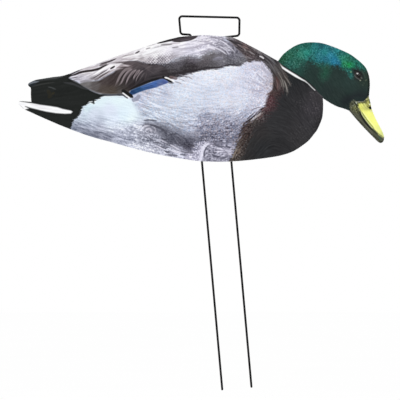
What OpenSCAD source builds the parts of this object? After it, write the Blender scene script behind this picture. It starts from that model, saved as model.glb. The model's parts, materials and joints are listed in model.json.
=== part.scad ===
// Flat silhouette decoy of a feeding drake duck.
// One die-cut twin-wall plastic panel carries a printed film on each face.
// One bent wire passes down two of the panel's flutes: its loop is the handle, its legs the stake.
// +X is the way the bird faces, +Z is up, and the panel lies in the XZ plane.
// The origin is midway between the two leg tips.

/* [Panel] */
// Thickness of the fluted sheet over both liners
board_t = 4; // [4:0.5:6]
// Thickness of each outer liner
liner_t = 0.3; // [0.2:0.05:0.35]
// Thickness of each rib between two flutes
rib_t = 0.3; // [0.2:0.05:0.5]
// Distance from one rib to the next
flute_pitch = 4.4; // [4:0.1:5]
// Lean of the flutes and the legs from upright, tops towards the tail
lean = 5.1; // [4.1:0.5:5.1]

/* [Print] */
// Thickness of each printed film
film_t = 0.1; // [0.05:0.05:0.3]
// Bare rim between a film's edge and the panel's cut edge
bare_rim = 0.2; // [0.2:0.1:1.2]

/* [Stake] */
// Diameter of the wire
wire_d = 3.2; // [2.4:0.1:3.2]
// Flutes from one leg to the other
leg_flutes = 10; // [8:2:12]
// Height of the tail-side shoulder's bend over the leg tips
back_shoulder_z = 531.5; // [531.5:0.5:536]
// Height of the head-side shoulder's bend over the leg tips
front_shoulder_z = 527; // [527:0.5:531]
// Length of the chamfer on each leg tip
tip_chamfer = 1.2; // [0.6:0.2:2]
// Centreline radius of the bend from a leg into a shoulder
shoulder_r = 2.6; // [2:0.2:3]

/* [Handle] */
// Width of the handle at its top bar
bar_w = 90.8; // [84:0.2:100]
// Width of the handle at its lower corners
foot_w = 88; // [84:0.2:92]
// Height of the top bar over the lower corners
handle_h = 27; // [24:0.5:45]
// Height of the lower corners' middle over the leg tips
foot_z = 531.1; // [531.1:0.1:536]
// Middle of the lower corners along X
foot_x = -40.5; // [-41:0.5:-39]
// Offset of the top bar's middle towards the tail
bar_shift = 1; // [0:0.1:2]
// Slope of the top bar and the lower corners, head end lower
handle_tilt = 1.4; // [0:0.1:1.5]
// Centreline radius of the handle's corners
handle_r = 4.5; // [3:0.5:6]

/* [Hidden] */
$fn = 48;
spline_steps = 3;
flute_w = flute_pitch - rib_t;
flute_t = board_t - 2 * liner_t;
leg_x = leg_flutes * flute_pitch / 2;
// Where the flutes begin and end across their lean, and along it.
flutes_from = -290;
flutes_to = 255;
flute_low = 330;
flute_high = 545;
// Each shoulder's bend sits between the liners, in a pocket pressed into the ribs: [x, z, width].
shoulder_pockets = [[-80, 524, 20], [-30, 519, 26]];
pocket_h = 20;
// Each bend is this much fatter in radius than the wire, so that a straight end laps into it.
bend_swell = 0.02;
lap = 0.2;

// The outline's smooth runs, [x, z], clockwise from the tail with a corner between runs.
back_run = [
    [-313.5, 456], [-312.5, 458.5], [-309.5, 460.5], [-302.5, 463.5], [-295, 465], [-276, 468],
    [-259, 470.5], [-236, 479], [-206, 489.5], [-183.5, 498], [-149, 509.5], [-116, 520.5],
    [-96, 526], [-84, 528.5], [-64, 530], [-48.5, 531], [-29, 529.5], [-10, 528], [-0.5, 525],
    [18.5, 515.5], [36.5, 506], [61.5, 492]
];
head_run = [
    [61.5, 492], [70, 502.8], [83.5, 512.8], [94.5, 517.8], [105.5, 519.9], [115, 520.1],
    [124.5, 519.4], [134, 517.1], [149, 511.7], [167.5, 503.5], [177, 497.2], [186.2, 489.7],
    [192.5, 483], [196, 476.5], [198.5, 468], [199.5, 458], [199, 448.5], [198, 437.5]
];
bill_run = [
    [198, 437.5], [200.5, 429], [202, 420.5], [205, 412.5], [209.5, 402.5], [215.5, 391.5],
    [219.8, 382], [220.8, 375.5], [219.2, 370.8], [216.3, 369], [212.7, 369.8], [207, 375],
    [191.6, 390.6], [176.7, 407.1], [171.5, 413.5], [168, 417.5]
];
throat_run = [[168, 417.5], [160, 420.5], [151, 423.2], [145, 426], [137.5, 430.2], [129, 436]];
belly_run = [
    [129, 436], [129.5, 426], [129, 415], [127.6, 405.3], [121, 389.6], [115, 381.4],
    [108.7, 373.6], [102, 367.8], [86.5, 357.4], [70.5, 351.3], [50.5, 347.3], [20, 343.4],
    [-4, 341.4], [-24, 340.7], [-50, 341.3], [-70, 343.4], [-111, 350.4], [-149, 359.2],
    [-190, 370.6], [-209, 375.5], [-228, 381.5], [-258, 392.6], [-288, 405.3], [-318, 418.9]
];
feather_run = [
    [-318, 418.9], [-323.5, 422.9], [-327.3, 428], [-326, 431.8], [-318, 431.5], [-308.5, 430.8]
];
tail_run = [[-308.5, 430.8], [-309.3, 441], [-309.3, 451], [-311.7, 453.5], [-313.5, 456]];

function knot(run, i) =
    i < 0 ? 2 * run[0] - run[1]
    : i >= len(run) ? 2 * run[len(run) - 1] - run[len(run) - 2]
    : run[i];

function spline_at(a, b, c, d, t) =
    0.5 * (2 * b + (c - a) * t + (2 * a - 5 * b + 4 * c - d) * t * t
    + (3 * b - a - 3 * c + d) * t * t * t);

// A smooth curve through a run's points, without the last one, which starts the next run.
function smooth_run(run) = [
    for (i = [0 : len(run) - 2])
        for (s = [0 : spline_steps - 1])
            spline_at(knot(run, i - 1), run[i], run[i + 1], knot(run, i + 2), s / spline_steps)
];

outline = [
    for (run = [back_run, head_run, bill_run, throat_run, belly_run, feather_run, tail_run])
        for (p = smooth_run(run))
            p
];

function unit(v) = v / norm(v);

function inward(a, b) = [unit(b - a)[1], -unit(b - a)[0]];

// The same outline moved inwards by d, each point along the bisector of its two edges.
function inset(pts, d) = [
    for (i = [0 : len(pts) - 1])
        let (
            n = len(pts),
            n1 = inward(pts[(i + n - 1) % n], pts[i]),
            n2 = inward(pts[i], pts[(i + 1) % n])
        )
        pts[i] + d * (n1 + n2) / (1 + n1 * n2)
];

// The wire's corners, [x, z], from the tail-side tip up, round the handle and down again.
function on_leg(x, z) = [(x - z * sin(lean)) / cos(lean), z];

tip_back = [-leg_x * cos(lean), -leg_x * sin(lean)];
tip_front = -tip_back;
along_bar = [cos(handle_tilt), -sin(handle_tilt)];
foot_mid = [foot_x, foot_z];
bar_mid = [foot_x - bar_shift, foot_z + handle_h];
wire_path = [
    tip_back,
    on_leg(-leg_x, back_shoulder_z),
    foot_mid - foot_w / 2 * along_bar,
    bar_mid - bar_w / 2 * along_bar,
    bar_mid + bar_w / 2 * along_bar,
    foot_mid + foot_w / 2 * along_bar,
    on_leg(leg_x, front_shoulder_z),
    tip_front
];
bend_radii = [0, shoulder_r, handle_r, handle_r, handle_r, handle_r, shoulder_r, 0];

function heading(a, b) = atan2(b[1] - a[1], b[0] - a[0]);

function wrap(a) = a > 180 ? a - 360 : a < -180 ? a + 360 : a;

function turn_at(i) =
    wrap(heading(wire_path[i], wire_path[i + 1]) - heading(wire_path[i - 1], wire_path[i]));

function cut_back(i) = bend_radii[i] == 0 ? 0 : bend_radii[i] * tan(abs(turn_at(i)) / 2);

// Stand a drawing made in the XY plane up into the XZ plane, thickness t along Y.
module upright_prism(pts, t) {
    rotate([90, 0, 0])
        translate([0, 0, -t / 2])
            linear_extrude(height = t)
                polygon(pts);
}

module flute(i) {
    rotate([0, -lean, 0])
        translate([i * flute_pitch - flute_w / 2, -flute_t / 2, flute_low])
            cube([flute_w, flute_t, flute_high - flute_low]);
}

module shoulder_pocket(p) {
    translate([p[0], -flute_t / 2, p[1]])
        cube([p[2], flute_t, pocket_h]);
}

module fluted_panel() {
    color([0.90, 0.92, 0.93])
        difference() {
            upright_prism(outline, board_t);
            for (i = [ceil(flutes_from / flute_pitch) : floor(flutes_to / flute_pitch)])
                flute(i);
            for (p = shoulder_pockets)
                shoulder_pocket(p);
        }
}

module printed_film(side) {
    translate([0, side * (board_t + film_t) / 2, 0])
        upright_prism(inset(outline, bare_rim), film_t);
}

module right_print_film() {
    color([0.52, 0.50, 0.52])
        printed_film(-1);
}

module left_print_film() {
    color([0.52, 0.50, 0.52])
        printed_film(1);
}

// One straight length of wire along +X.
module wire_straight(length) {
    rotate([0, 90, 0])
        cylinder(h = length, d = wire_d);
}

// One bend of the wire, from heading +X round through the given turn, left positive.
module wire_bend(r, turn) {
    side = turn > 0 ? 1 : -1;
    translate([0, side * r, 0])
        rotate_extrude(angle = turn, start = -90 * side)
            translate([r, 0])
                circle(d = wire_d + 2 * bend_swell);
}

module leg_tip() {
    rotate([0, 90, 0])
        cylinder(h = tip_chamfer, d1 = wire_d / 2, d2 = wire_d);
}

// The wire from corner i onwards, each length starting where the last bend ends.
module wire_from(i) {
    is_last = i == len(wire_path) - 2;
    trim = (i == 0 ? tip_chamfer : cut_back(i)) + (is_last ? tip_chamfer : cut_back(i + 1));
    length = norm(wire_path[i + 1] - wire_path[i]) - trim;
    lap_in = i == 0 ? 0 : lap;
    lap_out = is_last ? 0 : lap;
    translate([-lap_in, 0, 0])
        wire_straight(length + lap_in + lap_out);
    translate([length, 0, 0]) {
        if (is_last) {
            translate([tip_chamfer, 0, 0])
                rotate([0, 0, 180])
                    leg_tip();
        } else {
            r = bend_radii[i + 1];
            turn = turn_at(i + 1);
            side = turn > 0 ? 1 : -1;
            wire_bend(r, turn);
            translate([0, side * r, 0])
                rotate([0, 0, turn])
                    translate([0, -side * r, 0])
                        wire_from(i + 1);
        }
    }
}

module wire_stake() {
    color([0.08, 0.08, 0.09])
        rotate([90, 0, 0])
            translate(tip_back)
                rotate([0, 0, 90 + lean])
                    union() {
                        leg_tip();
                        translate([tip_chamfer, 0, 0])
                            wire_from(0);
                    }
}

fluted_panel();
right_print_film();
left_print_film();
wire_stake();
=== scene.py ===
import json
import math

import bpy
import numpy as np
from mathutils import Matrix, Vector
from mathutils.geometry import delaunay_2d_cdt


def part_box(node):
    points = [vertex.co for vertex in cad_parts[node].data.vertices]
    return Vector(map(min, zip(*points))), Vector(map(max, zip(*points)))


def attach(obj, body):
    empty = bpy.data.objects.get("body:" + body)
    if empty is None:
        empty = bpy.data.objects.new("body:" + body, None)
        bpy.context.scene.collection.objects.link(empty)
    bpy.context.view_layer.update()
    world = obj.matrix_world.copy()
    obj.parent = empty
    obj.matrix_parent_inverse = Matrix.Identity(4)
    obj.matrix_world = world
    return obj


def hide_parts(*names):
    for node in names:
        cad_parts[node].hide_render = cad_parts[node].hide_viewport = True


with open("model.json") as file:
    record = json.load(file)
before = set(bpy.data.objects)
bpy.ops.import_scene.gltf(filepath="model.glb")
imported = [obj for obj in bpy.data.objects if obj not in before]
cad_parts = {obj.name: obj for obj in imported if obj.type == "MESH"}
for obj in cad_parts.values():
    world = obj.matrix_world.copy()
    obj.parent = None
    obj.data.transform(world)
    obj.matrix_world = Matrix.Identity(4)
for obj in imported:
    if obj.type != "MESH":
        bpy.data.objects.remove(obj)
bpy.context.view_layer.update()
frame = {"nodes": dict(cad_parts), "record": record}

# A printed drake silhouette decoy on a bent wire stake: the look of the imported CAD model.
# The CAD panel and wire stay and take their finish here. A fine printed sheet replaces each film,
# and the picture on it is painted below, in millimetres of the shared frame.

MM = 0.001


# ---------------------------------------------------------------- brushes and noise
# The picture is drawn one layer over another on a grid of PITCH millimetres, and each vertex of a
# print sheet takes the colour at its own place.

PITCH = 0.5
X_LOW, X_HIGH, Z_LOW, Z_HIGH = -332.0, 224.0, 338.0, 534.0
GRID_X, GRID_Z = np.meshgrid(np.arange(X_LOW, X_HIGH, PITCH), np.arange(Z_LOW, Z_HIGH, PITCH))
ROWS, COLS = GRID_X.shape
WAVES = np.fft.rfftfreq(COLS, PITCH)[None, :] ** 2 + np.fft.fftfreq(ROWS, PITCH)[:, None] ** 2

GRAIN_BLUR = 2.2  # how far noise is blurred for each millimetre of grain
END_FADE, END_INK = 2.5, 0.2  # how fast a stroke gains ink from its ends, and what it has there
CRISPNESS, CRISP_SIZE = 0.8, 1.1  # how much, and how widely, print sharpens the finished picture
BLACKEST = 4  # the darkest that a colour gets


def field_noise(size_mm, seed):
    """Seeded soft noise over the grid, of unit deviation, its grains size_mm across."""
    white = np.fft.rfft2(np.random.default_rng(seed).standard_normal((ROWS, COLS)))
    white *= np.exp(-(WAVES * (GRAIN_BLUR * size_mm) ** 2))
    out = np.fft.irfft2(white, (ROWS, COLS))
    return (out - out.mean()) / out.std()


def blurred(ink, size_mm):
    """The picture through a soft round brush of this size."""
    pass_low = np.exp(-2 * (math.pi * size_mm) ** 2 * WAVES)
    planes = [np.fft.irfft2(np.fft.rfft2(ink[..., k]) * pass_low, (ROWS, COLS)) for k in range(3)]
    return np.stack(planes, -1)


def above(field, start, run):
    """0 below the start, rising to 1 a run above it."""
    return np.clip((field - start) / run, 0, 1)


def below(field, start, run):
    """0 above the start, rising to 1 a run below it."""
    return np.clip((start - field) / run, 0, 1)


def spread(spots, reach, power=2):
    """Given values (x, z, value...) spread smoothly over the grid."""
    total, weight = 0.0, 0.0
    for x, z, *value in spots:
        w = 1.0 / ((GRID_X - x) ** 2 + (GRID_Z - z) ** 2 + reach**2) ** power
        total = total + w[..., None] * np.array(value, float)
        weight = weight + w
    return total / weight[..., None]


def lay_field(spots):
    """Unit direction of the feather lay, from given angles in degrees."""
    turns = [(x, z, 2 * math.radians(angle)) for x, z, angle in spots]
    v = spread([(x, z, math.cos(a), math.sin(a)) for x, z, a in turns], 10, 1.5)
    half = 0.5 * np.arctan2(v[..., 1], v[..., 0])
    return np.cos(half), np.sin(half)


def straight_lay(x, z):
    """One direction of lay all over the grid."""
    return np.full((ROWS, COLS), x), np.full((ROWS, COLS), z)


def streaks(lay, length_mm, grain_mm, seed):
    """Noise drawn out along the feather lay, of unit deviation."""
    noise = field_noise(grain_mm, seed)
    total = noise.copy()
    steps = max(2, int(length_mm / 2 / PITCH))
    for way in (-1, 1):
        col = np.tile(np.arange(COLS, dtype=float), (ROWS, 1))
        row = np.tile(np.arange(ROWS, dtype=float)[:, None], (1, COLS))
        for _ in range(steps):
            j = np.clip(np.rint(col).astype(int), 0, COLS - 1)
            i = np.clip(np.rint(row).astype(int), 0, ROWS - 1)
            col += way * lay[0][i, j]
            row += way * lay[1][i, j]
            total += noise[i, j]
    return (total - total.mean()) / total.std()


def curve(points, closed=False, steps=5):
    """A smooth Catmull-Rom line through the points."""
    p = np.array(points, float)
    if closed:
        p = np.vstack([p[-1:], p, p[:2]])
    else:
        p = np.vstack([2 * p[0] - p[1], p, 2 * p[-1] - p[-2]])
    out = []
    for a, b, c, d in zip(p[:-3], p[1:-2], p[2:-1], p[3:]):
        for t in (k / steps for k in range(steps)):
            square, cube = 2 * a - 5 * b + 4 * c - d, 3 * b - a - 3 * c + d
            out.append(0.5 * (2 * b + (c - a) * t + square * t * t + cube * t**3))
    if not closed:
        out.append(p[-2])
    return np.array(out)


def window(points, margin):
    """The part of the grid, as two slices, that holds the points with a margin round them."""
    low, high = points.min(0) - margin, points.max(0) + margin
    j0, j1 = int((low[0] - X_LOW) / PITCH), int((high[0] - X_LOW) / PITCH) + 2
    i0, i1 = int((low[1] - Z_LOW) / PITCH), int((high[1] - Z_LOW) / PITCH) + 2
    rows = slice(max(i0, 0), min(max(i1, 0), ROWS))
    return rows, slice(max(j0, 0), min(max(j1, 0), COLS))


def nearest(path, gx, gz):
    """Distance to a polyline, and how far along it (0 to 1) the nearest point is."""
    best, at = np.full(gx.shape, 1e9), np.zeros(gx.shape)
    sides = np.diff(path, axis=0)
    lengths = np.hypot(sides[:, 0], sides[:, 1])
    run = np.concatenate([[0], np.cumsum(lengths)])
    for (x, z), (dx, dz), length, start in zip(path, sides, lengths, run):
        if length < 1e-9:
            continue
        t = np.clip(((gx - x) * dx + (gz - z) * dz) / length**2, 0, 1)
        d = np.hypot(gx - x - t * dx, gz - z - t * dz)
        near = d < best
        best = np.where(near, d, best)
        at = np.where(near, (start + t * length) / run[-1], at)
    return best, at


def inside(loop, gx, gz):
    """Where the grid lies inside a closed polyline."""
    within = np.zeros(gx.shape, bool)
    for (x0, z0), (x1, z1) in zip(loop[:-1], loop[1:]):
        if z0 != z1:
            crosses = (gz >= min(z0, z1)) & (gz < max(z0, z1))
            within ^= crosses & (gx < x0 + (gz - z0) * (x1 - x0) / (z1 - z0))
    return within


def shape(points, soft=0.8, ragged=None, smooth=True):
    """Soft mask of a closed shape. ragged is a field in millimetres that pushes its edge about."""
    path = curve(points, closed=True) if smooth else np.array(points, float)
    reach = soft * 2 + (0 if ragged is None else 3 * float(np.abs(ragged).std()) + 4)
    win = window(path, reach)
    gx, gz = GRID_X[win], GRID_Z[win]
    loop = np.vstack([path, path[:1]])
    dist, _ = nearest(loop, gx, gz)
    signed = np.where(inside(loop, gx, gz), dist, -dist)
    if ragged is not None:
        signed = signed + ragged[win]
    mask = np.zeros((ROWS, COLS))
    mask[win] = np.clip(signed / soft * 0.5 + 0.5, 0, 1)
    return mask


def colour_mix(ink, mask, colour):
    """Lays a colour (one, or a field of them) over the picture where the mask is."""
    return ink + mask[..., None] * (np.asarray(colour, float) - ink)


def tone(ink, mask, *layers):
    """Lightens and darkens the picture by fields, each with its depth in 8-bit steps."""
    for field, depth in layers:
        ink = ink + (mask * field)[..., None] * depth
    return ink


def brush(ink, points, width, colour, strength=1.0, soft=0.8, ends=(0.3, 0.3)):
    """A stroke along a smooth path, width in millimetres, tapering over each end's share."""
    path = curve(points) if len(points) > 2 else np.array(points, float)
    win = window(path, width + 2 * soft)
    dist, at = nearest(path, GRID_X[win], GRID_Z[win])
    taper = np.minimum(np.clip(at / ends[0], 0, 1), np.clip((1 - at) / ends[1], 0, 1))
    half = 0.5 * width * np.sqrt(taper)
    mask = np.clip((half - dist) / soft + 0.5, 0, 1) * strength
    mask = mask * np.clip(taper * END_FADE + END_INK, 0, 1)
    ink[win] = colour_mix(ink[win], mask, colour)
    return ink


def strokes(ink, soft, rows, ends=(0.3, 0.3)):
    """Lays strokes in turn, each a width, a colour, a strength and the points of its path."""
    for width, colour, strength, *points in rows:
        ink = brush(ink, points, width, colour, strength, soft, ends)
    return ink


# ---------------------------------------------------------------- the printed picture
# In every list below, a spot or a point starts with its x and z in millimetres, and a colour is
# red, green and blue in 8-bit steps.

LAY = lay_field([
    (-310, 440, 8), (-270, 460, 12), (-235, 470, 22), (-205, 478, 32), (-180, 470, 48), (-150, 470, 55),
    (-165, 500, 24), (-120, 510, 16), (-90, 518, 14), (-60, 518, 10), (-30, 520, -6), (-12, 518, -30),
    (20, 508, -32), (42, 497, -34), (58, 484, -58), (70, 460, -76), (-110, 488, 6), (-70, 490, 4),
    (-30, 492, 2), (5, 492, -12), (-145, 430, -22), (-115, 440, -18), (-80, 430, -10), (-60, 462, -14),
    (-20, 450, -10), (15, 465, -26), (40, 470, -42), (-30, 425, 4), (-55, 402, 14), (-20, 398, 20),
    (8, 410, 34), (25, 425, 22), (-85, 375, -34), (-112, 392, -30), (-150, 380, -14), (-200, 388, -16),
    (-235, 395, -22), (-100, 356, -14), (-40, 355, 4), (-20, 366, -8), (-190, 420, -10), (60, 400, -14),
    (100, 385, -50), (112, 420, -70), (20, 370, 60),
])

# Streaks and grains of the plumage: a length along the lay, a grain, and a seed of its own.
FINE = streaks(LAY, 7, 0.55, 11)
HAIR = streaks(LAY, 12, 0.8, 12)
BROAD = streaks(LAY, 26, 1.9, 13)
BLOTCH = field_noise(5, 14)
SPECK = field_noise(0.6, 15)
GRAIN = streaks(LAY, 2.6, 0.55, 16)
MOTTLE = field_noise(0.85, 17)
PEBBLE = field_noise(1.25, 18)
STRAND = streaks(LAY, 5.5, 0.9, 19)


def paint_flank():
    """The pale grey side, from the white rear patch to the breast, with its fine wavy lines."""
    ink = spread([
        (-150, 430, 188, 193, 213), (-140, 445, 192, 196, 214), (-125, 428, 205, 212, 228),
        (-108, 440, 200, 205, 223), (-85, 440, 218, 225, 239), (-70, 464, 222, 226, 240),
        (-40, 468, 232, 236, 249), (-12, 472, 228, 232, 245), (0, 450, 216, 219, 236),
        (25, 478, 218, 219, 237), (33, 483, 192, 191, 207), (44, 479, 204, 203, 219),
        (46, 468, 198, 196, 212), (34, 468, 222, 223, 239), (32, 456, 210, 211, 228),
        (44, 456, 184, 180, 195), (43, 448, 192, 189, 205), (40, 440, 194, 192, 208),
        (41, 434, 214, 214, 230), (53, 470, 160, 157, 168), (53, 456, 176, 172, 180),
        (50, 445, 178, 171, 180), (30, 441, 190, 190, 208), (31, 433, 220, 221, 238),
        (-30, 440, 214, 220, 236), (-60, 432, 218, 224, 239), (-100, 425, 206, 214, 230),
        (-130, 412, 203, 212, 229), (-95, 408, 208, 216, 232), (-70, 408, 206, 212, 229),
        (-22, 413, 190, 193, 211), (2, 426, 226, 230, 244), (18, 411, 172, 174, 192),
        (27, 421, 190, 190, 207), (-4, 412, 208, 211, 228), (-20, 430, 226, 230, 244),
        (-36, 422, 212, 216, 232), (12, 436, 220, 224, 239), (-70, 394, 184, 189, 208),
        (-50, 398, 150, 151, 170), (-52, 386, 156, 157, 175), (-30, 394, 138, 137, 154),
        (-8, 396, 134, 134, 152), (-7, 388, 110, 109, 125), (6, 402, 156, 157, 175),
        (-44, 380, 108, 108, 124), (-45, 374, 96, 95, 110), (-20, 382, 130, 129, 146),
        (-2, 380, 142, 142, 159), (-90, 398, 192, 198, 214), (-90, 388, 142, 146, 162),
        (-45, 408, 160, 163, 182), (-60, 424, 204, 210, 226), (-14, 404, 150, 151, 170),
    ], 8)
    everywhere = np.ones((ROWS, COLS))
    ink = tone(ink, everywhere, (BROAD, 3), (HAIR, 3), (GRAIN, 4), (MOTTLE, 3))
    warm_to_cool = (-2.2, 0.3, 2.4)
    ink = ink + field_noise(1.6, 32)[..., None] * warm_to_cool
    rear = below(GRID_X, -95, 30)
    ink = tone(ink, rear, (HAIR, 6), (BROAD, 3))
    lower = below(GRID_Z, 428, 30) * above(GRID_X, -78, 30)
    ink = tone(ink, lower, (HAIR, 8), (STRAND, 12), (GRAIN, 7), (MOTTLE, 6))
    middle = below(GRID_Z, 430, 22) * below(GRID_X, -45, 25) * above(GRID_X, -150, 20)
    ink = tone(ink, middle, (HAIR, 8), (STRAND, 6))
    front = above(GRID_X, 5, 25)
    ink = tone(ink, front, (MOTTLE, 5), (BLOTCH, 5), (GRAIN, 4))
    return strokes(ink, 1.4, [
        (2.4, (176, 176, 194), 0.75, (28, 474), (35, 468), (42, 462)),
        (4, (184, 182, 198), 0.75, (36, 482), (44, 476), (50, 468)),
        (2.4, (192, 192, 210), 0.75, (20, 484), (30, 480), (38, 476)),
        (2.6, (184, 184, 204), 0.75, (24, 461), (32, 458), (40, 452)),
        (2.2, (176, 174, 194), 0.75, (22, 448), (32, 447), (42, 449)),
        (1.8, (222, 223, 237), 0.75, (32, 472), (39, 467), (45, 461)),
        (1.8, (226, 228, 241), 0.75, (28, 466), (34, 461), (41, 456)),
        (4, (222, 220, 233), 0.75, (24, 488.4), (31, 488.6), (37, 486.6)),
        (2.4, (236, 243, 250), 0.75, (-181, 399.6), (-168, 401.4), (-155, 404.4), (-145, 406)),
    ])


def paint_rear_patch(ink):
    """The bluish white patch behind the flank, with a jagged edge against the black rump."""
    patch = shape([
        (-255, 385), (-251, 396), (-243, 405), (-236, 412), (-231, 422), (-223, 429), (-216, 432),
        (-209, 435), (-201, 440), (-185, 441), (-168, 439), (-158, 435), (-150, 422), (-143, 408),
        (-140, 400), (-160, 392), (-200, 380), (-240, 378),
    ], 5)
    white = spread([
        (-225, 424, 218, 238, 246), (-205, 434, 228, 244, 250), (-180, 434, 230, 246, 251),
        (-162, 430, 228, 243, 251), (-190, 418, 224, 232, 248), (-215, 412, 216, 224, 240),
        (-170, 412, 224, 240, 251), (-156, 406, 236, 250, 254), (-185, 404, 218, 228, 244),
        (-232, 408, 204, 216, 230), (-150, 402, 214, 224, 238), (-210, 402, 186, 194, 211),
    ], 7)
    ink = colour_mix(ink, patch, white)
    ink = tone(ink, patch * below(GRID_X, -205, 25), (FINE, 8))
    ink = tone(ink, patch * below(GRID_Z, 412, 12), (HAIR, 7))
    return tone(ink, patch, (HAIR, 2.2))


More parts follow.
